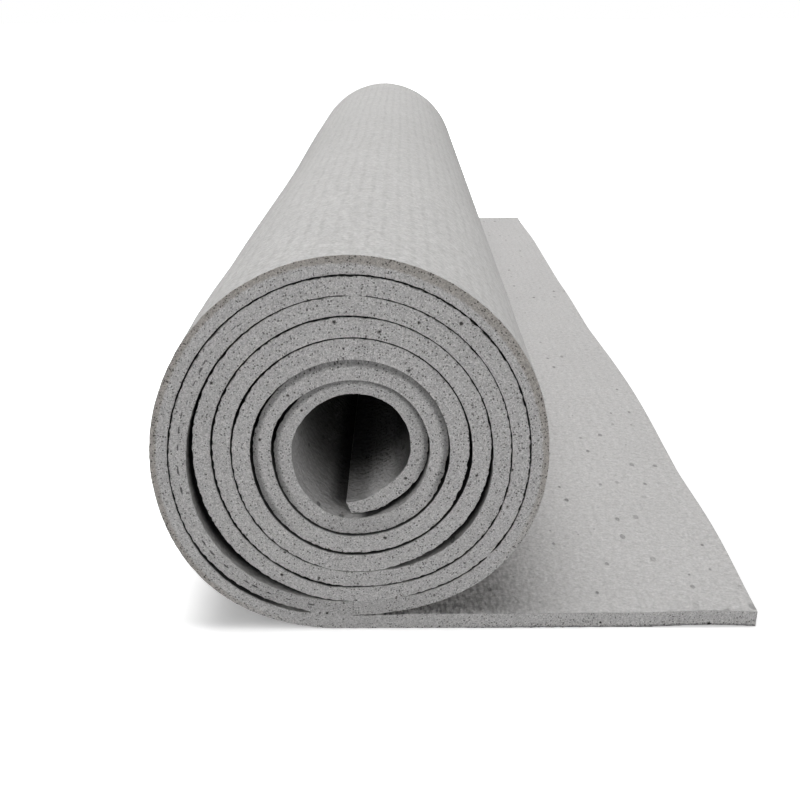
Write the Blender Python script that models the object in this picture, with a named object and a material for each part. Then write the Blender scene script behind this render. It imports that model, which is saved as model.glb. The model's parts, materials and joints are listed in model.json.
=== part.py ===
"""A foam yoga mat rolled up on the floor, with its free end still lying flat beside the roll.

The sheet is a laminate of two foam layers with a reinforcing scrim between them. Each layer is one
unbroken strip wound in a spiral, and the free end is cut into panels whose hinges stand in for the
foam's bend when the end is rolled up against the roll.

Metres, +Z up. The origin is on the floor under the roll's centre, halfway along the roll. The roll's
axis runs along Y, the end that shows its spiral faces -Y, and the free end points along +X.
"""

import math

import bmesh
import bpy

MM = 0.001

# The sheet
MAT_WIDTH = 610 * MM
SHEET_THICKNESS = 5.2 * MM
SCRIM_THICKNESS = 0.4 * MM
BOND_LINE = 0.15 * MM  # between the scrim and the foam on either side

# The winding
TURNS = 7
STATIONS = 36  # to a turn
CORE_RADIUS = 16.0 * MM
WRAP_GAP = 0.42 * MM  # between one wrap and the next where they lie close
LOOSE_GAP = 2.7 * MM  # added where the winding is slackest
TIP_LIFT = 1.1 * MM  # the inner end springs in towards the core by this much
CORE_RECESS = 5 * MM  # the innermost wrap sits this far back from the roll's end
START_ANGLE = math.radians(-90)  # the inner end is at the bottom of the core

WOUND_SHARE = 0.957  # of the thickness, kept under the winding's tension
FLOOR_SQUEEZE_SHARE = 0.106  # of the thickness, lost under the roll's own weight
RECESS_DECAY_SHARE = 0.45  # of the recess, left after each turn
TIP_SHARE = 0.20  # of a turn, over which the inner end is lifted
CLIMB_START_SHARE = 0.74  # of the first turn, where it starts to climb over the inner end
FLOOR_REACH_SHARE = 0.24  # of a turn, either side of the bottom
HEAVY_TURN, HEAVY_TURNS = 5.8, 3.2  # where the weight presses most, and how far that spreads

# The core is not quite round: count of lobes, share of the radius, direction in degrees
CORE_LOBE_SHARES = ((1, 0.110, 75), (2, 0.030, 17), (3, 0.009, -57))

# Slack places: turns from the inner end, half width in turns, share of the widest gap
SLACK_SHARES = (
    (1.53, 0.34, 0.41),
    (2.25, 0.45, 0.23),
    (2.84, 0.17, 0.30),
    (3.13, 0.33, 0.41),
    (3.54, 0.33, 0.41),
    (4.15, 0.14, 0.55),
    (4.53, 0.15, 0.17),
    (5.45, 0.14, 0.07),
    (5.84, 0.18, 0.93),
    (6.50, 0.08, 0.06),
    (6.90, 0.125, 0.58),
)

# The free end
FREE_END = 120.5 * MM  # from under the roll's centre to the cut end
PANELS = 6
HINGE_GAP = 0.3 * MM
CURL_CLEARANCE = 0.5 * MM  # from the rolled-up free end to the roll
CURL_REACH_SHARE = 0.36  # of a turn, that the rolled-up free end can cover


def swell(x):
    """A smooth hump: 1 at zero, falling to nothing at 1 either side."""
    return math.cos(x * math.pi / 2) ** 2 if abs(x) < 1 else 0.0


def ease(x):
    x = min(1.0, max(0.0, x))
    return x * x * (3 - 2 * x)


def angle_at(turns):
    return START_ANGLE + turns * math.tau


def thickness_at(turns):
    bottom = swell(math.remainder(turns, 1.0) / FLOOR_REACH_SHARE)
    weight = swell((turns - HEAVY_TURN) / HEAVY_TURNS)
    return SHEET_THICKNESS * WOUND_SHARE * (1 - FLOOR_SQUEEZE_SHARE * bottom * weight)


def gap_at(turns):
    slack = sum(share * swell((turns - place) / half) for place, half, share in SLACK_SHARES)
    return WRAP_GAP + LOOSE_GAP * slack


def core_at(turns):
    lobes = sum(
        share * math.cos(count * (angle_at(turns) - math.radians(direction)))
        for count, share, direction in CORE_LOBE_SHARES
    )
    climb = ease((turns - CLIMB_START_SHARE) / (1 - CLIMB_START_SHARE))
    return CORE_RADIUS * (1 + lobes) + climb * (thickness_at(0) + gap_at(1))


def wind():
    """The radius of the sheet's inner face at each station, every turn lying on the one inside it."""
    radii = []
    for i in range(TURNS * STATIONS + 1):
        turns = i / STATIONS
        if i <= STATIONS:
            radii.append(core_at(turns))
        else:
            below = i - STATIONS
            radii.append(radii[below] + thickness_at(below / STATIONS) + gap_at(turns))
    return radii


INNER_FACE = wind()
AXIS_HEIGHT = INNER_FACE[-1] + thickness_at(TURNS)


def outer_face(i):
    return INNER_FACE[i] + thickness_at(i / STATIONS)


def tip_lift_at(turns):
    return TIP_LIFT * (1 - ease(turns / TIP_SHARE))


def point_at(i, depth_share):
    """(x, z) in the sheet's section at a station: depth 0 is the inner face and 1 the outer face."""
    turns = i / STATIONS
    radius = INNER_FACE[i] + depth_share * thickness_at(turns) - tip_lift_at(turns)
    x, z = radius * math.cos(angle_at(turns)), AXIS_HEIGHT + radius * math.sin(angle_at(turns))
    return x, max(z, 0.0)  # pressed flat where it rests on the floor


def layer_depths():
    """Each layer's two faces, as shares of the sheet's thickness below its inner face."""
    foam = (SHEET_THICKNESS - SCRIM_THICKNESS) / 2 - BOND_LINE
    scrim = foam + BOND_LINE
    return {
        "upper_foam": (0, foam / SHEET_THICKNESS),
        "scrim": (scrim / SHEET_THICKNESS, (scrim + SCRIM_THICKNESS) / SHEET_THICKNESS),
        "lower_foam": (1 - foam / SHEET_THICKNESS, 1),
    }


# How the free end lies against the roll when it is rolled up: its inner face touches this circle

CURL_RADIUS = CURL_CLEARANCE + max(
    outer_face((TURNS - 1) * STATIONS + i) for i in range(int(CURL_REACH_SHARE * STATIONS) + 1)
)


def first_hinge():
    """Where the flat sheet leaves the roll, so that the panels just go round the circle as a polygon."""
    spread = 1 / (4 * PANELS**2)
    a = 1 - spread
    b = 2 * FREE_END * spread
    c = (AXIS_HEIGHT - SHEET_THICKNESS) ** 2 - CURL_RADIUS**2 - FREE_END**2 * spread
    return (math.sqrt(b * b - 4 * a * c) - b) / (2 * a)


FIRST_HINGE = first_hinge()
PANEL_LENGTH = (FREE_END - FIRST_HINGE) / PANELS
PANEL_CURL = 2 * math.atan(PANEL_LENGTH / 2 / CURL_RADIUS)
FIRST_CURL = math.atan(FIRST_HINGE / (AXIS_HEIGHT - SHEET_THICKNESS)) + PANEL_CURL / 2


def foam(name, colour, roughness):
    material = bpy.data.materials.new(name)
    material.use_nodes = True
    shader = material.node_tree.nodes["Principled BSDF"]
    shader.inputs["Base Color"].default_value = (*colour, 1)
    shader.inputs["Roughness"].default_value = roughness
    shader.inputs["Metallic"].default_value = 0
    material.diffuse_color = (*colour, 1)
    return material


def strip(name, sections, material):
    """One closed solid lofted through four-cornered sections."""
    shape = bmesh.new()
    rings = [[shape.verts.new(corner) for corner in section] for section in sections]
    for ring, following in zip(rings, rings[1:]):
        for i in range(4):
            j = (i + 1) % 4
            shape.faces.new((ring[i], ring[j], following[j], following[i]))
    shape.faces.new(rings[0])
    shape.faces.new(rings[-1])
    bmesh.ops.recalc_face_normals(shape, faces=shape.faces)
    mesh = bpy.data.meshes.new(name)
    shape.to_mesh(mesh)
    shape.free()
    mesh.materials.append(material)
    made = bpy.data.objects.new(name, mesh)
    bpy.context.scene.collection.objects.link(made)
    return made


def section(upper, lower, front, back):
    """The corners of a layer at one place: upper and lower are (x, z), front and back are y."""
    return [
        (upper[0], front, upper[1]),
        (lower[0], front, lower[1]),
        (lower[0], back, lower[1]),
        (upper[0], back, upper[1]),
    ]


def roll_layer(name, depths, material):
    """A layer of the wound sheet, from the inner end to the flat stretch before the first hinge."""
    sections = []
    for i in range(TURNS * STATIONS + 1):
        recess = CORE_RECESS * RECESS_DECAY_SHARE ** (i / STATIONS)
        front = recess - MAT_WIDTH / 2
        upper, lower = (point_at(i, depth) for depth in depths)
        sections.append(section(upper, lower, front, front + MAT_WIDTH))
    upper, lower = ((FIRST_HINGE - HINGE_GAP / 2, SHEET_THICKNESS * (1 - depth)) for depth in depths)
    sections.append(section(upper, lower, front, front + MAT_WIDTH))
    made = strip(name, sections, material)
    made.data.shade_smooth()
    made.data.set_sharp_from_angle(angle=math.radians(40))


def hinge_empty(name, parent, x, z):
    """An empty on a hinge's axis, in the frame of the one before it."""
    made = bpy.data.objects.new(name, None)
    made.location = (x, 0, z)
    made.parent = parent
    bpy.context.scene.collection.objects.link(made)
    return made


def flap_layer(name, depths, material, hinge, is_last):
    """A layer of one panel of the free end, in its hinge's frame: the axis is in the panel's top face."""
    start = HINGE_GAP / 2
    end = PANEL_LENGTH if is_last else PANEL_LENGTH - HINGE_GAP / 2
    recess = CORE_RECESS * RECESS_DECAY_SHARE**TURNS
    front = recess - MAT_WIDTH / 2
    top, bottom = (-SHEET_THICKNESS * depth for depth in depths)
    made = strip(
        name,
        [section((x, top), (x, bottom), front, front + MAT_WIDTH) for x in (start, end)],
        material,
    )
    made.parent = hinge


def least_wrap_gap():
    """The least distance between one wrap and the next, measured on the section's points."""
    least = math.inf
    for i in range((TURNS - 1) * STATIONS + 1):
        x, z = point_at(i, 1)
        for j in range(i + STATIONS - 2, min(i + STATIONS + 3, TURNS * STATIONS + 1)):
            if j >= STATIONS:
                other = point_at(j, 0)
                least = min(least, math.hypot(x - other[0], z - other[1]))
    return least


def sheet_length():
    """The length along the middle of the sheet, wound and flat."""
    middle = [point_at(i, 0.5) for i in range(TURNS * STATIONS + 1)]
    wound = sum(math.dist(a, b) for a, b in zip(middle, middle[1:]))
    return wound + FREE_END


for old in list(bpy.data.objects):
    bpy.data.objects.remove(old, do_unlink=True)

layers = {
    "upper_foam": foam("upper_foam", (0.50, 0.49, 0.48), 0.85),
    "scrim": foam("scrim", (0.78, 0.77, 0.75), 0.7),
    "lower_foam": foam("lower_foam", (0.40, 0.39, 0.38), 0.9),
}
for layer, layer_depth in layer_depths().items():
    roll_layer(f"{layer}_roll", layer_depth, layers[layer])

carrier = None
for panel in range(1, PANELS + 1):
    if carrier is None:
        carrier = hinge_empty("flap_hinge_1", None, FIRST_HINGE, SHEET_THICKNESS)
    else:
        carrier = hinge_empty(f"flap_hinge_{panel}", carrier, PANEL_LENGTH, 0)
    for layer, layer_depth in layer_depths().items():
        flap_layer(f"{layer}_flap_{panel}", layer_depth, layers[layer], carrier, panel == PANELS)

print(f"least gap between wraps {least_wrap_gap() / MM:.2f} mm")
print(f"roll {2 * max(outer_face(i) for i in range(len(INNER_FACE))) / MM:.1f} mm across at its widest")
print(f"axis {AXIS_HEIGHT / MM:.2f} mm above the floor, sheet {sheet_length() / MM:.0f} mm long")
print(f"hinges from x {FIRST_HINGE / MM:.2f} mm, every {PANEL_LENGTH / MM:.2f} mm")
print(f"curl {math.degrees(FIRST_CURL):.2f} degrees at the first, {math.degrees(PANEL_CURL):.2f} at the rest")
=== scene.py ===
"""The looks of a foam yoga mat, rolled up on the floor with its free end lying flat beside the roll.

The sheet is two foam layers fused over a scrim. Each layer is made flat, with the grain of its
faces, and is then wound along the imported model's spiral, as unevenly as hands do it. Metres, +Z up.
"""

import json
import math

import bpy
import numpy as np
from mathutils import Matrix, Vector


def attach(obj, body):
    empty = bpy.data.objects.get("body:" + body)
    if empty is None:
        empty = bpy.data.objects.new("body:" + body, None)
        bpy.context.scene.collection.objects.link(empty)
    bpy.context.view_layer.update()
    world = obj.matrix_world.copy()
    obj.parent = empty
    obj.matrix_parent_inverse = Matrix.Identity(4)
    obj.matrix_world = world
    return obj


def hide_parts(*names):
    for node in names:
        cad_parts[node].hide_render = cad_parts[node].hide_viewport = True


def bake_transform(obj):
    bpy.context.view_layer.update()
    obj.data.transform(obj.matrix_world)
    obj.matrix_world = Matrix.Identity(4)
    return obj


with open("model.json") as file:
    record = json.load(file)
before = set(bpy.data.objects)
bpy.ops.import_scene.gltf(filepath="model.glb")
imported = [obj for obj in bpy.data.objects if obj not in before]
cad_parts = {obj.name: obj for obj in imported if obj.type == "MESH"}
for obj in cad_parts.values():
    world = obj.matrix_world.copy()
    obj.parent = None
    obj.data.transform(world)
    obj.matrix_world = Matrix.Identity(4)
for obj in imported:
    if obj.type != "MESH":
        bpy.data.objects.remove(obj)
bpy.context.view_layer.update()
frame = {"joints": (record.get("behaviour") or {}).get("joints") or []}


# The winding. A real mat is rolled by hand from one end: every turn lies on the one inside it, with
# slack where the hands let it go, and it is pressed flat where the roll rests on the floor. This
# gives the path of the sheet, station by station, from the inner end to the cut free end.

MAT_WIDTH = 0.610
SHEET_THICKNESS = 0.0052
WOUND_THICKNESS = 0.957 * SHEET_THICKNESS
CORE_RADIUS = 0.016
CORE_RECESS = 0.005
WRAP_GAP = 0.00042
LEAST_GAP = 0.0003
LOOSE_GAP = 0.0027
TIP_TURNS = 0.08  # the inner end is cut on a slant, over this much of a turn, to a thin edge
TIP_SLANT = 0.0015
TIP_LEAN = 0.09
CLIMB_FROM = 0.74  # of the first turn, where it begins to climb onto its own start
TURNS = 7
STEPS = 468  # of the winding to a turn
FREE_END = 0.1205
REGAINED = 0.02  # of the free end, over which the sheet is again as thick as when it is flat
STATION = 0.0008  # along the sheet, from one cross-section of the mesh to the next

# the core isn't round: how many lobes, their share of its radius, and where they point in degrees
CORE_LOBES = ((1, 0.110, 75), (2, 0.030, 17), (3, 0.009, -57))
# A place in the winding is counted in turns from the inner end, and is whole at the bottom.
# Humps: the place, half its length, and how much. Here the roll's weight takes a share of the
# sheet's thickness at the bottom, the core is dented, and the inner end is lifted.
BOTTOM_PRESS = (5.8, 3.2, 0.106)
CORE_DENT = (0.50, 0.24, 0.0008)
TIP_LIFT = (0.13, 0.11, 0.0011)
# shut gaps: the place under the gap, half its length, its soft ends, and how far it is shut
CLOSED_PLACES = (
    (5.999, 0.050, 0.016, 1.0),
    (5.026, 0.038, 0.016, 1.0),
    (3.000, 0.055, 0.016, 0.8),
    (0.450, 0.220, 0.100, 0.8),
    (1.440, 0.240, 0.100, 0.8),
    (1.000, 0.240, 0.120, 0.6),
    (1.980, 0.280, 0.140, 0.55),
    (2.440, 0.260, 0.140, 0.65),
    (3.480, 0.260, 0.140, 0.45),
    (4.430, 0.200, 0.120, 0.4),
    (4.490, 0.012, 0.008, 0.6),
    (0.800, 0.100, 0.080, 0.25),
    (5.145, 0.005, 0.003, 1.0),
    (5.550, 0.160, 0.100, 0.3),
)
# slack gaps, as humps: a share of the loosest gap
SLACK_PLACES = (
    (1.53, 0.34, 0.41),
    (2.25, 0.45, 0.23),
    (2.84, 0.17, 0.30),
    (3.13, 0.33, 0.41),
    (3.54, 0.33, 0.41),
    (4.15, 0.14, 0.55),
    (4.53, 0.15, 0.17),
    (5.45, 0.14, 0.07),
    (5.84, 0.18, 0.93),
    (6.50, 0.08, 0.06),
    (6.90, 0.125, 0.58),
)
# how far out the turns have settled, in tenths of a millimetre, every eighth of a turn
SETTLED = (
    (11.0, 9.5, 4.3, 3.7, -0.5, -2.6, 1.5, 2.3)
    + (7.0, 9.6, 4.1, 0.6, -5.5, -2.2, 0.2, 3.4)
    + (3.7, 6.7, 1.6, 1.0, 2.0, 1.2, 1.3, 1.5)
    + (4.4, 1.5, 2.8, 1.0, -0.5, -3.4, -2.4, 0.5)
    + (3.9, 2.0, 3.8, 1.2, 0.3, -2.0, -1.2, 1.5)
    + (7.7, 2.9, 1.7, 1.1, -1.0, -1.4, 0.8, 7.5)
    + (1.0, 4.0)
)
SETTLED_UNIT = 0.0001


def swell(x):
    """A smooth hump: 1 at zero, nothing from 1 either side."""
    return np.where(np.abs(x) < 1, np.cos(np.clip(x, -1, 1) * math.pi / 2) ** 2, 0.0)


def hump(x, place, half, height):
    return height * swell((x - place) / half)


def ease(x):
    """A smooth step from 0 at zero to 1 at 1."""
    x = np.clip(x, 0, 1)
    return x * x * (3 - 2 * x)


def floor_press(turns):
    """1 at the bottom of each turn, fading to nothing a quarter of a turn either side."""
    return swell((turns - np.round(turns)) / 0.24)


def thickness_at(turns):
    return WOUND_THICKNESS * (1 - floor_press(turns) * hump(turns, *BOTTOM_PRESS))


def closed_at(turns):
    """1 where the gap between a turn and the next one out is shut."""
    closed = sum(
        share * ease((half - np.abs(turns - place)) / soft)
        for place, half, soft, share in CLOSED_PLACES
    )
    return np.minimum(closed, 1)


def gap_at(turns):
    return WRAP_GAP + LOOSE_GAP * sum(hump(turns, *slack) for slack in SLACK_PLACES)


def angle_at(turns):
    return math.tau * turns - math.pi / 2


def core_at(turns):
    """The radius of the first turn, which climbs onto its own start as it closes."""
    lobes = sum(
        share * np.cos(count * (angle_at(turns) - math.radians(turned)))
        for count, share, turned in CORE_LOBES
    )
    climbed = ease((turns - CLIMB_FROM) / (1 - CLIMB_FROM))
    return CORE_RADIUS * (1 + lobes) + climbed * (thickness_at(0) + gap_at(1))


wound_turns = np.arange(TURNS * STEPS + 1) / STEPS
wound_inner = core_at(wound_turns)
for turn in range(1, TURNS):
    here = slice(turn * STEPS + 1, (turn + 1) * STEPS + 1)
    below = slice((turn - 1) * STEPS + 1, turn * STEPS + 1)
    outside = wound_inner[below] + thickness_at(wound_turns[below])
    wound_inner[here] = outside + gap_at(wound_turns[here])
for eighth, amount in enumerate(SETTLED):
    wound_inner += amount * SETTLED_UNIT * swell(wound_turns * 8 - eighth)
for turn in range(TURNS - 2, -1, -1):
    here = slice(turn * STEPS, (turn + 1) * STEPS + 1)
    over = slice((turn + 1) * STEPS, (turn + 2) * STEPS + 1)
    room = wound_inner[over] - thickness_at(wound_turns[here]) - LEAST_GAP
    wound_inner[here] = np.minimum(wound_inner[here], room)
AXIS_HEIGHT = wound_inner[-1] + thickness_at(TURNS)

wound_middle = wound_inner + thickness_at(wound_turns) / 2
middle_x = wound_middle * np.cos(angle_at(wound_turns))
middle_z = wound_middle * np.sin(angle_at(wound_turns))
wound_length = np.concatenate(([0], np.cumsum(np.hypot(np.diff(middle_x), np.diff(middle_z)))))
WOUND_LENGTH = wound_length[-1]
SHEET_LENGTH = WOUND_LENGTH + FREE_END


def gap_over(turns):
    """The gap between a turn and the next one out, as wound."""
    outside = np.interp(turns + 1, wound_turns, wound_inner)
    return outside - np.interp(turns, wound_turns, wound_inner) - thickness_at(turns)


def length_at(turns):
    """How far along the sheet a place in the winding is."""
    return float(np.interp(turns, wound_turns, wound_length))


def winding(along):
    """For places along the sheet: its inner and outer face's (x, z), and how many turns are wound."""
    turns = np.interp(along, wound_length, wound_turns)
    flat = np.maximum(along - WOUND_LENGTH, 0)
    regained = (SHEET_THICKNESS - thickness_at(TURNS)) * ease(flat / REGAINED)
    thickness = thickness_at(turns) + regained
    tip = np.clip(1 - turns / TIP_TURNS, 0, 1)
    radius = np.interp(turns, wound_turns, wound_inner) - hump(turns, *TIP_LIFT)
    inner_radius = radius + hump(turns, *CORE_DENT) + TIP_SLANT * tip
    faces = []
    for r, lean in ((inner_radius, TIP_LEAN * tip**2), (radius + thickness, 0)):
        angle = angle_at(turns) - lean
        x, z = r * np.cos(angle), AXIS_HEIGHT + r * np.sin(angle)
        faces.append(np.stack([x + flat, np.maximum(z, 0)], axis=1))
    faces[0][:, 1] = np.where(flat > 0, thickness, faces[0][:, 1])
    return faces[0], faces[1], turns


# The free edge is cut unevenly: humps of it across the mat reach out, the far corner is drawn back
# from a place on, and near its front corner the sheet stands up a little, before its edge.
EDGE_WAVES = ((-0.255, 0.060, 0.0023), (-0.125, 0.150, 0.0041), (0.035, 0.060, 0.0009))
FAR_CORNER, FAR_CORNER_WIDTH, FAR_CORNER_BACK = 0.200, 0.090, 0.0021
FRONT_CORNER, FRONT_CORNER_WIDTH = -0.305, 0.045
RAISED_EDGE = (0.106, 0.022, 0.0007)
# the roll's left side bulges near the cut end and is pressed in behind it
LEFT_SIDE, LEFT_SPREAD = math.radians(142), 1.3
SIDE_BULGE = (-0.266, 0.045, 0.00055)
SIDE_PRESS = (-0.015, 0.200, 0.00115)
OUTER_RADIUS = 0.0545


def unevenness(along, turns, across):
    """How far the real mat strays from its even winding, at every place along and across it."""
    flat = np.clip((along - WOUND_LENGTH) / FREE_END, 0, 1)[:, None]
    edge = sum(hump(across, *wave) for wave in EDGE_WAVES)
    edge = edge - FAR_CORNER_BACK * ease((across - FAR_CORNER) / FAR_CORNER_WIDTH)
    front_corner = 1 - ease((across - FRONT_CORNER) / FRONT_CORNER_WIDTH)
    raised = hump(flat * FREE_END, *RAISED_EDGE) * front_corner
    angle = angle_at(turns)
    left = swell(((angle - LEFT_SIDE + math.pi) % math.tau - math.pi) / LEFT_SPREAD)
    pushed = hump(across, *SIDE_BULGE) - hump(across, *SIDE_PRESS)
    radius = np.interp(turns, wound_turns, wound_inner) / OUTER_RADIUS
    radial = (left * radius)[:, None] * pushed * (flat == 0)
    x = edge * flat + radial * np.cos(angle)[:, None]
    z = raised + radial * np.sin(angle)[:, None]
    return np.stack([x, np.zeros_like(x), z], axis=2)


# Node trees are written as sums: an output of a node can be added to or multiplied by another, and
# the Math nodes for it are put into its tree. It serves the mat's shape and its finishes alike.


class Flow:
    """An output of a node, in its tree."""

    def __init__(self, tree, output=None):
        self.tree = tree
        self.output = output

    def add(self, kind, values=None, settings=None, output=0):
        """A new node of a kind: its settings are made first, then its sockets' values or links."""
        made = self.tree.nodes.new(kind)
        for name, setting in (settings or {}).items():
            setattr(made, name, setting)
        for socket, value in (values or {}).items():
            if isinstance(value, Flow):
                self.tree.links.new(value.output, made.inputs[socket])
            else:
                made.inputs[socket].default_value = value
        return Flow(self.tree, made.outputs[output])

    def other(self, output):
        """Another output of the same node."""
        return Flow(self.tree, self.output.node.outputs[output])

    def math(self, operation, *others):
        """A Math node on this and the others."""
        return self.add("ShaderNodeMath", dict(enumerate((self, *others))), {"operation": operation})

    def vector(self, operation, *others):
        """Vector maths on this and the others, where a plain number stands for all three parts."""
        values = {0: self}
        for i, other in enumerate(others, 1):
            whole = isinstance(other, Flow) or hasattr(other, "__len__")
            values[i] = other if whole else (other, other, other)
        return self.add("ShaderNodeVectorMath", values, {"operation": operation})

    def scaled(self, factor):
        """This vector, as many times as long."""
        return self.add("ShaderNodeVectorMath", {0: self, "Scale": factor}, {"operation": "SCALE"})

    def ramp(self, low, high, start=0.0, end=1.0):
        """A smooth step from start to end as this goes from low to high."""
        values = {"Value": self, "From Min": low, "From Max": high, "To Min": start, "To Max": end}
        return self.add("ShaderNodeMapRange", values, {"interpolation_type": "SMOOTHSTEP"})

    def noise(self, scale, detail=2.0, roughness=0.5, output=0):
        values = {"Vector": self, "Scale": scale, "Detail": detail, "Roughness": roughness}
        return self.add("ShaderNodeTexNoise", values, output=output)

    def cells(self, scale, output="Distance", space="3D"):
        values = {"Vector": self, "Scale": scale}
        return self.add("ShaderNodeTexVoronoi", values, {"voronoi_dimensions": space}, output)

    def mix(self, one, two):
        """From colour one to colour two as this goes from 0 to 1."""
        return self.add("ShaderNodeMix", {0: self, 6: one, 7: two}, {"data_type": "RGBA"}, output=2)

    def parts(self):
        """The three parts of a vector."""
        split = self.add("ShaderNodeSeparateXYZ", {0: self})
        return split, split.other(1), split.other(2)

    def __add__(self, other):
        return self.math("ADD", other)

    __radd__ = __add__

    def __sub__(self, other):
        return self.math("SUBTRACT", other)

    def __rsub__(self, other):
        return self.add("ShaderNodeMath", {0: other, 1: self}, {"operation": "SUBTRACT"})

    def __mul__(self, other):
        return self.math("MULTIPLY", other)

    __rmul__ = __mul__

    def __truediv__(self, other):
        return self.math("DIVIDE", other)

    def __pow__(self, other):
        return self.math("POWER", other)


def vector_of(x, y=0.0, z=0.0):
    return x.add("ShaderNodeCombineXYZ", {0: x, 1: y, 2: z})


def colour_of(tone, colour):
    """A colour, as light as the tone makes it."""
    return tone.add("ShaderNodeCombineColor", {i: tone * part for i, part in enumerate(colour)})


# The foam: closed-cell PVC, cast with a skin on each side and cut at its four edges. The skins are
# pale and matt; the cut shows the foam's fine cells, darker pores and a rough, dirtier outer rim.

CUT_COLOUR = (0.685, 0.674, 0.669)
DIRT_TINT = (0.93, 0.88, 0.82)
SCRIM_ALONG, SCRIM_ACROSS = 0.0043, 0.0026  # from one yarn of the scrim to the next
FINE_CELLS, SMALL_PORES, LARGE_PORES, RIM_PORES = 3.4, 1.35, 0.25, 0.95  # to a millimetre


class LaidSheet:
    """Where a point is in the flat sheet, in millimetres, so that a pattern is wound up with it."""

    def __init__(self, tree):
        laid = Flow(tree).add(
            "ShaderNodeAttribute", settings={"attribute_name": "laid"}, output="Vector"
        )
        self.mm = laid.vector("MULTIPLY", 1000)
        self.along, self.across, self.depth = self.mm.parts()
        jog = self.mm.noise(2.6, 1.0, output="Color")
        self.ragged = self.mm.vector("ADD", jog.vector("SUBTRACT", 0.5).vector("MULTIPLY", 0.6))
        self.to_edge = MAT_WIDTH * 500 - self.across.math("ABSOLUTE")
        self.to_tip = self.along.math("MINIMUM", SHEET_LENGTH * 1000 - self.along)

    def past(self, low, high):
        """0 before one place in the winding, 1 after another."""
        return self.along.ramp(length_at(low) * 1000, length_at(high) * 1000)

    def between(self, low, high, soft=0.08):
        """1 along the sheet from one place in the winding to another."""
        return self.past(low, low + soft) * (1 - self.past(high - soft, high))

    def run_out(self, low, high):
        """0 to 1 from one distance to another past the place where the free end leaves the roll."""
        leaves = WOUND_LENGTH * 1000
        return self.along.ramp(leaves + low, leaves + high)


def cut_foam(sheet):
    """The cut's colour, relief and grain: fine cells, lighter or darker, and pores between them."""

    def pores(per_mm, chance, size, soft):
        """1 in the pores: one to a cell, where its random share is above the chance."""
        cell = sheet.ragged.cells(per_mm)
        share = cell.other("Color").parts()[0]
        return 1 - (cell - (share - chance) * size).ramp(0.0, soft)

    cell = sheet.ragged.cells(FINE_CELLS, output="Color").parts()[0]
    grain = sheet.mm.noise(2.3, 2.0, 0.6)
    speck = (cell - 0.5) * 1.9 + (grain - 0.5) * 1.5
    cloud = sheet.mm.noise(0.12)
    small_pore = pores(SMALL_PORES, chance=0.20, size=0.36, soft=0.12)
    large_pore = pores(LARGE_PORES, chance=0.64, size=0.22, soft=0.10)
    pore = (small_pore * 0.8).math("MAXIMUM", large_pore)

    # the outer rim of the last turn is rough and worn
    depth = sheet.depth + (sheet.mm.noise(0.8, 3.0, 0.7) - 0.5) * 1.6
    worn_wide = sheet.between(6.24, 6.56, 0.12)
    rim = (depth + worn_wide).ramp(3.0, 3.9) * sheet.between(6.12, 6.97, 0.13)
    rim_pore = (1 - sheet.ragged.cells(RIM_PORES).ramp(0.16, 0.30)) * depth.ramp(2.8, 3.6)
    rim_pore = rim_pore * sheet.past(5.95, 6.05)

    # the innermost turns stand a little behind the next ones, whose rims shade theirs
    shaded = depth.ramp(3.1, 4.7) * sheet.between(0.16, 0.90)
    shaded = 0.54 * (shaded + depth.ramp(3.0, 4.6) * sheet.between(1.14, 1.92))

    # a row of longer pores lies along the scrim where the cut has torn it
    wander = (vector_of(sheet.along).noise(0.1, 1.0) - 0.5) * 1.4
    off_row = (sheet.depth - 2.6 - wander).math("ABSOLUTE")
    torn = 1 - vector_of(sheet.along / 2.2, sheet.depth).cells(0.55, space="2D").ramp(0.16, 0.34)
    torn = torn * (1 - off_row.ramp(0.20, 0.45)) * sheet.between(5.50, 6.02)

    # less light comes to the bottom of the roll and to the free end's lower edge
    low = sheet.between(0.90, 1.14) + sheet.between(5.84, 6.12)
    low = low + 0.6 * sheet.run_out(-30, -8) * (1 - sheet.run_out(8, 40))
    underside = depth.ramp(4.2, 4.9) * sheet.run_out(15, 60)

    bright = (1 + speck * 0.27) * (0.95 + 0.10 * cloud) * (1 - 0.85 * pore)
    bright = bright * (1 - 0.18 * rim) * (1 - 0.70 * rim_pore) * (1 - 0.75 * torn)
    bright = bright * (1 - 0.13 * low) * (1 - 0.50 * underside) * (1 - shaded)
    raw = colour_of(bright, CUT_COLOUR)
    raw = (rim * 0.8 + pore * 0.4).mix(raw, raw.vector("MULTIPLY", DIRT_TINT))
    return raw, speck * 0.10 - pore * 0.30, grain


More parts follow.
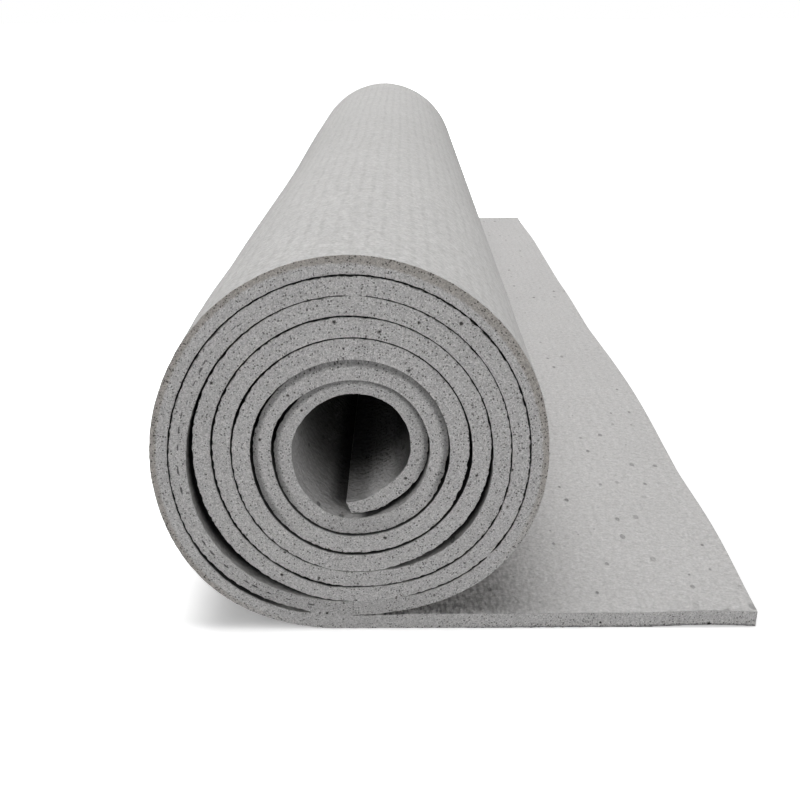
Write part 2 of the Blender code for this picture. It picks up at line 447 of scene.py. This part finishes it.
def foam_skin(sheet, colour, knob_height, painted_groove_shade, pit_share, end_to_end_tone, hidden):
    """A skin's colour and relief: rows of knobs where the scrim shows through, wrinkles and pits."""
    along, across, to_edge = sheet.along, sheet.across, sheet.to_edge
    row_drift, knob_drift, _ = sheet.mm.noise(0.03, output="Color").parts()
    row_length, knob_width = SCRIM_ALONG * 1000, SCRIM_ACROSS * 1000
    row = (along / row_length + row_drift * 0.7) * math.tau
    knob = (across / knob_width + knob_drift * 3.0 + along / (2 * row_length)) * math.tau
    knobs = (0.5 + 0.5 * row.math("COSINE")) * (0.7 + 0.3 * knob.math("COSINE"))
    broken = sheet.mm.noise(0.16, 3.0, 0.6).ramp(0.30, 0.62)
    # the grooves between the rows of knobs, which are painted darker: painted shade in them
    groove = (1 - knobs.ramp(0.0, 0.30)) * broken
    wrinkle = sheet.mm.noise(0.50, 1.5, 0.6)
    fine = sheet.mm.noise(1.2, 2.0, 0.6)

    ragged_along, ragged_across, _ = sheet.ragged.parts()
    pit_cells = vector_of(ragged_along, ragged_across / 1.8).cells(0.125, space="2D")
    pit_chance, pit_size, _ = pit_cells.other("Color").parts()
    pit = 1 - (pit_cells - pit_size * pit_size * 0.090).ramp(0.0, 0.05)
    pit = pit * pit_chance.ramp(1 - pit_share, 1)
    relief = knobs * knob_height + wrinkle * 0.8 + fine * 0.2 - pit * 0.60

    # painted shade: on the flap near the roll, in the wedge under it, the skin is painted darker in
    # streaks, and its grain and wrinkles are painted with more contrast, as their relief would show
    # in that shade
    painted_shade_near_roll = (1 - sheet.run_out(10, 72)) * sheet.run_out(-2, 0)
    tone = (0.95 + 0.10 * sheet.mm.noise(0.035, 3.0)) * (1 - painted_groove_shade * groove)
    tone = tone * (1 + (fine - 0.5) * (0.62 + 0.5 * painted_shade_near_roll))
    tone = tone * (1 + (wrinkle - 0.5) * (0.42 + 0.9 * painted_shade_near_roll)) * (1 - 0.45 * pit)
    painted_ridge_shade = vector_of(along, across / 3.2).noise(0.95)
    tone = tone * (1 - 0.62 * painted_shade_near_roll * (1 - painted_ridge_shade.ramp(0.38, 0.60)))

    # between the turns the skin is painted dark, painted shade that deepens in from the cut edge and
    # reaches further in where the gaps are open
    first, last = (length_at(place) * 1000 for place in hidden)
    rolled = along.ramp(first - 5, first)
    open_gap = sheet.between(4.02, 4.30) + sheet.between(5.58, 5.98) + sheet.between(1.04, 1.36)
    unlit = to_edge.ramp(0.0, 0.8 + 5.0 * open_gap)
    tone = tone * (1 - 0.92 * rolled * (1 - along.ramp(last - 15, last)) * unlit)

    # painted shade: the bore's skin is painted darker inwards, most of all behind the tip and on the
    # left; a stretch of the first turn near the inner end is painted lighter, painted light
    tone = tone * (1 - 0.50 * (1 - rolled) * to_edge.ramp(5.0, 45.0))
    tone = tone * (1 - 0.85 * sheet.between(0.10, 0.68, 0.14) * to_edge.ramp(0.0, 1.5))
    tone = tone * (1 - 0.72 * (1 - sheet.past(0.30, 0.50)) * to_edge.ramp(9.0, 32.0))
    tone = tone * (1 + 0.60 * sheet.between(0.03, 0.18, 0.05))
    tone = tone * (1 - 0.70 * sheet.between(0.93, 1.04, 0.04) * to_edge.ramp(4.0, 12.0))
    # painted shade: the roll's right side is painted a little darker; and a skin's tone can change
    # from one end of the roll to the other
    tone = tone * (1 - 0.12 * sheet.between(6.06, 6.52, 0.14))
    return colour_of(tone * across.ramp(-300, 60, *end_to_end_tone), colour), relief


def foam_finish(name, colour, knob_height, painted_groove_shade, pit_share, end_to_end_tone, hidden):
    """The foam of one layer: its skin, and the cut at the mat's long edges and its two ends."""
    material = bpy.data.materials.new(name)
    material.use_nodes = True
    tree = material.node_tree
    sheet = LaidSheet(tree)
    cut = 1 - sheet.to_edge.math("MINIMUM", sheet.to_tip).ramp(0.02, 0.09)
    raw, cut_relief, grain = cut_foam(sheet)
    cover, skin_relief = foam_skin(sheet, colour, knob_height, painted_groove_shade, pit_share, end_to_end_tone, hidden)
    relief = cut * cut_relief + (1 - cut) * skin_relief
    bump = relief.add("ShaderNodeBump", {"Strength": 0.9, "Distance": 0.001, "Height": relief})
    shader = tree.nodes["Principled BSDF"]
    tree.links.new(cut.mix(cover, raw).output, shader.inputs["Base Color"])
    tree.links.new((0.84 + 0.08 * grain).output, shader.inputs["Roughness"])
    tree.links.new(bump.output, shader.inputs["Normal"])
    shader.inputs["Specular IOR Level"].default_value = 0.3
    return material


# Winding a flat layer. The layer starts as a flat strip, exact and plain; the node tree lays it
# along the winding and gives it what rolling and cutting leave: dents where two wraps don't quite
# touch, rounded rims, a rough cut, and the slightly looser turns at the far end.


def winding_tree():
    """The node tree that winds a flat strip along the mesh of its winding."""
    tree = bpy.data.node_groups.new("wind_flat_foam", "GeometryNodeTree")
    socket = tree.interface.new_socket
    socket("Geometry", in_out="INPUT", socket_type="NodeSocketGeometry")
    socket("Winding", in_out="INPUT", socket_type="NodeSocketObject")
    for name, value in (
        ("Width", MAT_WIDTH),
        ("Thickness", SHEET_THICKNESS),
        ("Wrap Fill", 0.00007),
        ("Loose Reach", 0.035),
        ("Dent Depth", 0.00060),
        ("Wave Depth", 0.00022),
        ("Knob Height", 0.00022),
        ("Cut Roughness", 0.00014),
        ("Cut Wander", 0.0012),
        ("Rim Round", 0.00004),
        ("Rim Width", 0.00015),
        ("Free Rim Round", 0.00022),
        ("Far End Looser", 0.049),
    ):
        socket(name, in_out="INPUT", socket_type="NodeSocketFloat").default_value = value
    socket("Finish", in_out="INPUT", socket_type="NodeSocketMaterial")
    socket("Geometry", in_out="OUTPUT", socket_type="NodeSocketGeometry")
    group_in = tree.nodes.new("NodeGroupInput")
    given = {s.name: Flow(tree, s) for s in group_in.outputs if s.name}
    start = Flow(tree)
    position = start.add("GeometryNodeInputPosition")
    path = start.add("GeometryNodeObjectInfo", {"Object": given["Winding"]}, output="Geometry")

    def stored(name, kind="FLOAT"):
        return start.add("GeometryNodeInputNamedAttribute", {"Name": name}, {"data_type": kind})

    def sampled(value, kind="FLOAT"):
        """What the winding's mesh says at this point's station."""
        return start.add(
            "GeometryNodeSampleIndex",
            {"Geometry": path, "Value": value, "Index": stored("station", "INT")},
            {"data_type": kind, "domain": "POINT"},
        )

    inner = sampled(position, "FLOAT_VECTOR")
    through = sampled(stored("through", "FLOAT_VECTOR"), "FLOAT_VECTOR")
    outermost = sampled(stored("outermost"))
    recess = sampled(stored("recess"))
    loose = sampled(stored("loose"))
    on_top = sampled(stored("on_top"))

    along, across, depth = position.parts()
    share = depth / given["Thickness"]
    laid = vector_of(along, across, depth)
    mm = laid.vector("MULTIPLY", 1000)
    to_edge = given["Width"] * 0.5 - across.math("ABSOLUTE")
    end_share = 1 - to_edge.ramp(0.0, given["Loose Reach"])
    upper = 1 - share.ramp(0.0, 0.02)
    lower = share.ramp(0.98, 1.0)
    skin = upper + lower
    outward = lower - upper

    # the skins: uneven where two wraps lie close, shut where the roll's weight is on them, knobbly
    # on the outermost turn, and with rims rounded by the knife
    closed = sampled(stored("closed_over")) * lower + sampled(stored("closed_under")) * upper
    half_gap = sampled(stored("half_gap_over")) * lower + sampled(stored("half_gap_under")) * upper
    fill = given["Wrap Fill"] * (1 - closed) + half_gap * closed
    dents = mm.noise(0.75, 3.0, 0.7).ramp(0.42, 0.66) * given["Dent Depth"] * lower
    wavy = mm.vector("ADD", 40.0).noise(0.40).ramp(0.3, 0.7) * given["Wave Depth"] * upper
    uneven = (fill - (dents + wavy) * (1 - closed)) * end_share * (1 - outermost * lower)
    uneven = uneven * (1 - on_top * upper)
    knobs = (mm.noise(0.62) - 0.5) * outermost * lower * given["Knob Height"] * 2
    free = along.ramp(WOUND_LENGTH, WOUND_LENGTH + 0.010)
    rim = (1 - to_edge.ramp(0.0, given["Rim Width"])) * given["Rim Round"] * (1 - closed)
    rim = rim + (1 - to_edge.ramp(-0.0003, 0.0006)) * free * upper * given["Free Rim Round"]
    rise = (uneven + knobs - rim) * outward * skin

    # the cut: rough, and not quite straight along the sheet
    on_cut = 1 - to_edge.ramp(0.0, 0.00002)
    rough = (mm.noise(0.9, 3.0, 0.6) - 0.5) * given["Cut Roughness"] * 2
    wander = (vector_of(along * 1000).noise(0.014) - 0.5) * given["Cut Wander"]
    pushed = rough * on_cut * across.math("SIGN") + wander * end_share * (1 - outermost * 0.5)

    place = inner.vector("ADD", through.scaled(share))
    place = place.vector("ADD", through.vector("NORMALIZE").scaled(rise))
    x, _, z = place.parts()
    bigger = 1 + given["Far End Looser"] * loose * (across / given["Width"] + 0.5)
    moved = vector_of(x * bigger, across + recess + pushed, z * bigger)
    moved = moved.vector("ADD", stored("uneven", "FLOAT_VECTOR"))
    body = start.add(
        "GeometryNodeStoreNamedAttribute",
        {"Geometry": given["Geometry"], "Name": "laid", "Value": laid},
        {"data_type": "FLOAT_VECTOR", "domain": "POINT"},
    )
    body = start.add("GeometryNodeSetPosition", {"Geometry": body, "Position": moved})
    body = start.add("GeometryNodeRealizeInstances", {"Geometry": body})
    body = start.add("GeometryNodeSetMaterial", {"Geometry": body, "Material": given["Finish"]})
    group_out = tree.nodes.new("NodeGroupOutput")
    tree.links.new(body.output, group_out.inputs["Geometry"])
    return tree


WIND = winding_tree()

# the outermost turn begins here, and the last turn is as tight as the sheet that runs out of it
OUTERMOST_FROM, TIGHT_FROM = 6.04, 6.86
ROLL_TOUCHES = 0.008  # of the free end, over which the outermost turn still lies on it
RECESS_FADES = 0.45  # of the core's recess, which each turn keeps of the one before
# where the points of a strip's section lie: in from a cut edge, and in from a skin down the cut
RIM_COLUMNS = (0, 0.00008, 0.00020, 0.0006, 0.0014, 0.0028, 0.0052, 0.009)
FIRST_COLUMN = 0.003
CUT_ROWS = (0.00020, 0.0006, 0.0012, 0.0019)
SCRIM_POCKET = 0.00022
POCKET_MARGIN = 0.004


def edge_columns(widest):
    """Places in from a cut edge, close together at the rim and then up to widest apart."""
    columns = list(RIM_COLUMNS)
    step = FIRST_COLUMN
    while columns[-1] + step < MAT_WIDTH / 2 - 0.001:
        columns.append(columns[-1] + step)
        step = min(step * (1 + 8 * widest), widest)
    return np.array(columns)


def strip_section(layer, widest):
    """The corners round a layer's section, as (across, depth): skin, cut, inner side and cut."""
    half = SHEET_THICKNESS / 2
    columns = edge_columns(widest)
    columns = np.concatenate([columns - MAT_WIDTH / 2, MAT_WIDTH / 2 - columns[::-1]])
    skin_depth = 0.0 if layer == "upper_foam" else SHEET_THICKNESS
    toward = 1 if layer == "upper_foam" else -1
    inside = np.linspace(MAT_WIDTH / 2 - POCKET_MARGIN, POCKET_MARGIN - MAT_WIDTH / 2, 6)
    pocket = np.full(len(inside), half - toward * SCRIM_POCKET)
    edge = skin_depth + toward * np.array(CUT_ROWS)
    edge = np.append(edge, [half, half])  # the last twice, for a corner that isn't shaded round
    right, left = np.full(len(edge), MAT_WIDTH / 2), np.full(len(edge), -MAT_WIDTH / 2)
    across = np.concatenate([columns, right, inside, left])
    depth = np.concatenate([np.full(len(columns), skin_depth), edge, pocket, edge[::-1]])
    return across, depth


def wound_strip(name, first, last, section, finish):
    """A layer wound from one place along the sheet to another: its points, and where they laid."""
    count = max(2, int(round((last - first) / STATION)) + 1)
    middle = np.linspace(first + STATION, last - STATION, count - 2)
    along = np.concatenate([[first], middle, [last]])
    inner, outer, turns = winding(along)
    path = bpy.data.meshes.new(name + "_winding")
    path.vertices.add(count)
    zero = np.zeros(count)
    path.vertices.foreach_set("co", np.stack([inner[:, 0], zero, inner[:, 1]], axis=1).ravel())
    through = path.attributes.new("through", "FLOAT_VECTOR", "POINT")
    thick = outer - inner
    through.data.foreach_set("vector", np.stack([thick[:, 0], zero, thick[:, 1]], axis=1).ravel())
    for attribute, value in (
        ("outermost", ease((turns - OUTERMOST_FROM) / 0.03)),
        ("on_top", ease((along - WOUND_LENGTH - ROLL_TOUCHES) / 0.012)),
        ("recess", CORE_RECESS * RECESS_FADES**turns),
        ("loose", 1 - ease((turns - TIGHT_FROM) / (TURNS - TIGHT_FROM))),
        ("closed_over", closed_at(turns)),
        ("closed_under", closed_at(turns - 1) * (along < WOUND_LENGTH)),
        ("half_gap_over", gap_over(turns) / 2),
        ("half_gap_under", gap_over(turns - 1) / 2),
    ):
        made = path.attributes.new(attribute, "FLOAT", "POINT")
        made.data.foreach_set("value", value.astype(np.float32))
    guide = bpy.data.objects.new(name + "_winding", path)
    bpy.context.scene.collection.objects.link(guide)

    across, depth = section
    ring = len(across)
    flat_points = np.empty((count, ring, 3))
    flat_points[:, :, 0] = along[:, None]
    flat_points[:, :, 1] = across
    flat_points[:, :, 2] = depth
    mesh = bpy.data.meshes.new(name)
    mesh.from_pydata(flat_points.reshape(-1, 3), [], [])
    stations = mesh.attributes.new("station", "INT", "POINT")
    stations.data.foreach_set("value", np.repeat(np.arange(count, dtype=np.int32), ring))
    uneven = mesh.attributes.new("uneven", "FLOAT_VECTOR", "POINT")
    uneven.data.foreach_set("vector", unevenness(along, turns, across).ravel().astype(np.float32))
    strip = bpy.data.objects.new(name, mesh)
    bpy.context.scene.collection.objects.link(strip)
    modifier = strip.modifiers.new("wind", "NODES")
    modifier.node_group = WIND
    for item in WIND.interface.items_tree:
        if item.in_out == "INPUT" and item.name == "Winding":
            modifier[item.identifier] = guide
        if item.in_out == "INPUT" and item.name == "Finish":
            modifier[item.identifier] = finish
    bpy.context.view_layer.update()
    evaluated = strip.evaluated_get(bpy.context.evaluated_depsgraph_get())
    wound = bpy.data.meshes.new_from_object(evaluated)
    points = np.empty(count * ring * 3, np.float32)
    wound.vertices.foreach_get("co", points)
    bpy.data.objects.remove(strip)
    bpy.data.objects.remove(guide)
    for spent in (wound, mesh, path):
        bpy.data.meshes.remove(spent)
    return along, points.reshape(count, ring, 3).astype(float), flat_points


def surface_normals(points):
    """The normal at every point of a wound strip, from its neighbours round and along it."""
    along = np.gradient(points, axis=0)
    around = np.roll(points, -1, axis=1) - np.roll(points, 1, axis=1)
    normals = np.cross(along, around)
    return normals / np.maximum(np.linalg.norm(normals, axis=2, keepdims=True), 1e-20)


def end_cap(skin, rest, across):
    """Triangles that close an end, between the corners on the skin and the others, edge to edge."""
    faces, i, j = [], 0, 0
    while i < len(skin) - 1 or j < len(rest) - 1:
        if i < len(skin) - 1 and (j == len(rest) - 1 or across[skin[i + 1]] <= across[rest[j + 1]]):
            faces.append([skin[i], skin[i + 1], rest[j]])
            i += 1
        else:
            faces.append([skin[i], rest[j + 1], rest[j]])
            j += 1
    return faces


def sheet_piece(name, strip, first, last, finish, flip):
    """A closed piece of a wound strip between two places along it, shaded as one with the rest."""
    along, points, laid = strip
    low, high = np.searchsorted(along, [first - 1e-9, last - 1e-9])
    high = min(high, len(along) - 1)
    part = points[low : high + 1]
    normals = surface_normals(points)[low : high + 1]
    if flip:
        normals = -normals
    count, ring = part.shape[:2]

    # a point that repeats the one before it only parts the shading, and isn't made again
    doubled = (laid[0, :, 1:] == np.roll(laid[0, :, 1:], 1, axis=0)).all(axis=1)
    kept = np.flatnonzero(~doubled)
    vertex = np.arange(count)[:, None] * len(kept) + (np.cumsum(~doubled) - 1)
    index = np.arange(count * ring).reshape(count, ring)
    following = np.roll(index, -1, axis=1)
    quads = np.stack([index[:-1], index[1:], following[1:], following[:-1]], axis=-1)
    quads = quads[:, ~np.roll(doubled, -1)].reshape(-1, 4)
    skin = kept[: np.argmax(laid[0, kept, 2] != laid[0, 0, 2])]
    rest = kept[len(skin) :][::-1]
    cap = np.array(end_cap(skin, rest, laid[0, :, 1]))
    caps = np.concatenate([index[0][cap], index[-1][cap[:, ::-1]]])
    if flip:
        quads = quads[:, ::-1]
        caps = caps[:, ::-1]
    vertex = vertex.ravel()
    mesh = bpy.data.meshes.new(name)
    faces = vertex[quads].tolist() + vertex[caps].tolist()
    mesh.from_pydata(part[:, kept].reshape(-1, 3), [], faces)
    mesh.polygons.foreach_set("use_smooth", [True] * len(quads) + [False] * len(caps))
    coordinates = mesh.attributes.new("laid", "FLOAT_VECTOR", "POINT")
    coordinates.data.foreach_set("vector", laid[low : high + 1, kept].ravel().astype(np.float32))
    shading = normals.reshape(-1, 3)[quads.ravel()].tolist()
    for corner in mesh.polygons[len(quads) :]:
        shading += [corner.normal] * 3
    mesh.normals_split_custom_set(shading)
    mesh.materials.append(finish)
    made = bpy.data.objects.new(name, mesh)
    bpy.context.scene.collection.objects.link(made)
    return made


# The free end's bends: the foam bends all along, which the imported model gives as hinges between
# panels. Each piece here runs from the middle of one panel to the middle of the next.

JOINTS = {joint["name"]: joint for joint in frame["joints"]}
BENDS = range(1, 7)
HINGES = [JOINTS[f"flap_curl_{k}"]["pos_m"][0] for k in BENDS]
PANEL = HINGES[1] - HINGES[0]
ROLL_END = WOUND_LENGTH + HINGES[0] - PANEL / 2


def bend_piece(layer, number, strip, finish, flip):
    """One stretch of the free end, from the middle of one panel to the middle of the next."""
    hinge = HINGES[number - 1]
    first, last = hinge - PANEL / 2, hinge + PANEL / 2
    end = SHEET_LENGTH if number == len(BENDS) else WOUND_LENGTH + last
    made = sheet_piece(f"{layer}_bend_{number}", strip, WOUND_LENGTH + first, end, finish, flip)
    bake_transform(made)
    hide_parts(f"{layer}_flap_{number}")
    return made


# Upper foam layer: the smoother face, inside the roll and on top of the free end. It is PVC foam
# cast over the scrim and fused with the layer under it.

COARSE, FINE = 0.12, 0.0035  # the widest column of the mesh, where it is hidden and where it shows


def foam_layer(layer, shown_name, shown_from, finish, flip):
    """All of a foam layer: what is hidden in the roll, what shows from a place on, and bends."""
    split = length_at(shown_from)
    hidden = wound_strip(layer, 0, split + STATION, strip_section(layer, COARSE), finish)
    shown = wound_strip(layer, split - STATION, SHEET_LENGTH, strip_section(layer, FINE), finish)
    for name, strip, first, last in (
        (f"{layer}_wound", hidden, 0, split),
        (shown_name, shown, split, ROLL_END),
    ):
        piece = sheet_piece(name, strip, first, last, finish, flip)
        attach(piece, "roll")
        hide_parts(f"{layer}_roll")
    for number in BENDS:
        bend_piece(layer, number, shown, finish, flip)


upper_finish = foam_finish(
    "upper_foam_skin",
    colour=(0.540, 0.531, 0.526),
    knob_height=0.06,
    painted_groove_shade=0.03,
    pit_share=0.8,
    end_to_end_tone=(1, 1),
    hidden=(1.04, 6.95),
)
foam_layer("upper_foam", "upper_foam_run_out", 6.97, upper_finish, flip=False)


# Lower foam layer: the knobbly non-slip face, outside the roll and under the free end. The same
# PVC foam, with the scrim's grid showing through as rows of knobs.

lower_finish = foam_finish(
    "lower_foam_skin",
    colour=(0.548, 0.541, 0.533),
    knob_height=0.16,
    painted_groove_shade=0.08,
    pit_share=0.0,
    end_to_end_tone=(1.065, 0.97),
    hidden=(0, 6.02),
)
foam_layer("lower_foam", "lower_foam_outer_turn", 6.03, lower_finish, flip=True)


# Scrim: an open mesh of polyester yarn laid in the middle of the sheet while the foam is cast. It
# is sealed in and stops short of the cut edges, and it keeps the foam from stretching.

SCRIM_THICKNESS = 0.00024
SCRIM_MARGIN = 0.0055
SCRIM_START, SCRIM_STOP = 0.002, 0.003  # short of the mat's inner and outer end
SCRIM_TINT = (1, 0.98, 0.95)


def scrim_finish():
    """Yarns a fifth as wide as their spacing, with nothing between them."""
    material = bpy.data.materials.new("scrim_yarn")
    material.use_nodes = True
    tree = material.node_tree
    laid = Flow(tree).add(
        "ShaderNodeAttribute", settings={"attribute_name": "laid"}, output="Vector"
    )
    along, across, _ = laid.parts()
    wave_along = (along * (math.tau / SCRIM_ALONG)).math("COSINE")
    wave_across = (across * (math.tau / SCRIM_ACROSS)).math("COSINE")
    yarn = wave_along.math("MAXIMUM", wave_across).ramp(0.78, 0.84)
    twist = laid.vector("MULTIPLY", 1000).noise(3.0)
    shader = tree.nodes["Principled BSDF"]
    colour = colour_of(0.66 + 0.16 * twist, SCRIM_TINT)
    tree.links.new(colour.output, shader.inputs["Base Color"])
    tree.links.new(yarn.output, shader.inputs["Alpha"])
    tree.links.new((0.6 + 0.2 * twist).output, shader.inputs["Roughness"])
    return material


scrim_reach = MAT_WIDTH / 2 - SCRIM_MARGIN
across = np.linspace(-scrim_reach, scrim_reach, 7)
scrim_faces = (SHEET_THICKNESS - SCRIM_THICKNESS) / 2, (SHEET_THICKNESS + SCRIM_THICKNESS) / 2
scrim_section = np.concatenate([across, across[::-1]]), np.repeat(scrim_faces, len(across))
yarn = scrim_finish()
scrim = wound_strip("scrim", SCRIM_START, SHEET_LENGTH - SCRIM_STOP, scrim_section, yarn)
scrim_roll = sheet_piece("scrim_wound", scrim, SCRIM_START, ROLL_END, yarn, flip=False)
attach(scrim_roll, "roll")
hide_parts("scrim_roll")
for number in BENDS:
    bend_piece("scrim", number, scrim, yarn, flip=False)


# Floor and background: a plain white studio sweep that keeps only the mat's soft shadow. What the
# camera sees of both glows white, and the floor less so close to the mat, where its shadow lies.

FLOOR_REACH = 60
MAT_MIDDLE_X, MAT_HALF_X, MAT_HALF_Y = 0.0425, 0.0775, 0.3  # of the mat and its shadow's start
SHADOW_WIDTH = 0.032

corners = [(x * FLOOR_REACH, y * FLOOR_REACH, 0) for x, y in ((-1, -1), (1, -1), (1, 1), (-1, 1))]
floor_mesh = bpy.data.meshes.new("floor")
floor_mesh.from_pydata(corners, [], [(0, 1, 2, 3)])
floor = bpy.data.objects.new("floor", floor_mesh)
bpy.context.scene.collection.objects.link(floor)
floor_paint = bpy.data.materials.new("white_floor")
floor_paint.use_nodes = True
paint = floor_paint.node_tree.nodes["Principled BSDF"]
paint.inputs["Roughness"].default_value = 1
paint.inputs["Specular IOR Level"].default_value = 0
seen = Flow(floor_paint.node_tree).add("ShaderNodeLightPath", output="Is Camera Ray")
spot_x, spot_y, _ = seen.add("ShaderNodeTexCoord", output="Object").parts()
beside = ((spot_x - MAT_MIDDLE_X).math("ABSOLUTE") - MAT_HALF_X).math("MAXIMUM", 0.0)
before = (spot_y.math("ABSOLUTE") - MAT_HALF_Y).math("MAXIMUM", 0.0)
from_mat = beside**2 + (3 * before) ** 2
away = (from_mat**0.5).ramp(0.0, SHADOW_WIDTH, 0.24, 0.82) + from_mat.ramp(0.5, 2.5, 0.0, 0.20)
glow = (seen * away).mix((0, 0, 0, 1), (1, 1, 1, 1))
shade = seen.mix((0.25, 0.25, 0.25, 1), (0.85, 0.85, 0.85, 1))
floor_paint.node_tree.links.new(glow.output, paint.inputs["Emission Color"])
floor_paint.node_tree.links.new(shade.output, paint.inputs["Base Color"])
paint.inputs["Emission Strength"].default_value = 1
floor.data.materials.append(floor_paint)

world = bpy.data.worlds.new("studio")
world.use_nodes = True
bpy.context.scene.world = world
background = world.node_tree.nodes["Background"]
seen = Flow(world.node_tree).add("ShaderNodeLightPath", output="Is Camera Ray")
_, _, sky_height = seen.add("ShaderNodeTexCoord", output="Generated").parts()
walls = 3.0 * (1 - sky_height.ramp(0.05, 0.30))
ceiling = 0.65 * sky_height.ramp(0.5, 1.0)
strength = seen + (1 - seen) * (walls + ceiling)
world.node_tree.links.new(strength.output, background.inputs["Strength"])
background.inputs["Color"].default_value = (1, 1, 1, 1)


# Light: a large soft box overhead and one behind the roll, so the tops are light and the cut end
# facing the camera is greyer, and a weak one that fills in from the right in front.


def soft_box(name, place, target, size, watts):
    lamp = bpy.data.lights.new(name, "AREA")
    lamp.shape = "DISK"
    lamp.size = size
    lamp.energy = watts
    made = bpy.data.objects.new(name, lamp)
    bpy.context.scene.collection.objects.link(made)
    made.location = place
    made.rotation_euler = (Vector(target) - Vector(place)).to_track_quat("-Z", "Y").to_euler()


soft_box("overhead", place=(0, 0, 1.5), target=(0, 0, 0), size=1.2, watts=10.2)
soft_box("behind", place=(0, 1.1, 1.2), target=(0, 0, 0), size=1.0, watts=6.6)
soft_box("front_right", place=(0.9, -1.5, 0.8), target=(0, -0.2, 0), size=1.0, watts=2.6)


# Camera: close to the cut end and looking down on it, as in the photograph.

CAMERA_PLACE = (0.01517, -0.54647, 0.17028)
PITCH, YAW, ROLL = math.radians(21.748), math.radians(-0.186), math.radians(-0.395)
PHOTO_WIDTH, FOCAL_LENGTH = 800, 955.5  # in the photograph's pixels

camera = bpy.data.cameras.new("camera")
camera.sensor_width = 36
camera.lens = FOCAL_LENGTH * camera.sensor_width / PHOTO_WIDTH
camera.clip_start = 0.01
viewer = bpy.data.objects.new("camera", camera)
bpy.context.scene.collection.objects.link(viewer)
ahead = Vector((math.sin(YAW), math.cos(YAW), 0))
forward = math.cos(PITCH) * ahead - math.sin(PITCH) * Vector((0, 0, 1))
level = Vector((math.cos(YAW), -math.sin(YAW), 0))
upright = math.sin(PITCH) * ahead + math.cos(PITCH) * Vector((0, 0, 1))
right = math.cos(ROLL) * level + math.sin(ROLL) * upright
up = math.cos(ROLL) * upright - math.sin(ROLL) * level
turned = Matrix((right, up, -forward)).transposed().to_4x4()
viewer.matrix_world = Matrix.Translation(CAMERA_PLACE) @ turned
bpy.context.scene.camera = viewer

bpy.context.scene.view_settings.view_transform = "Standard"
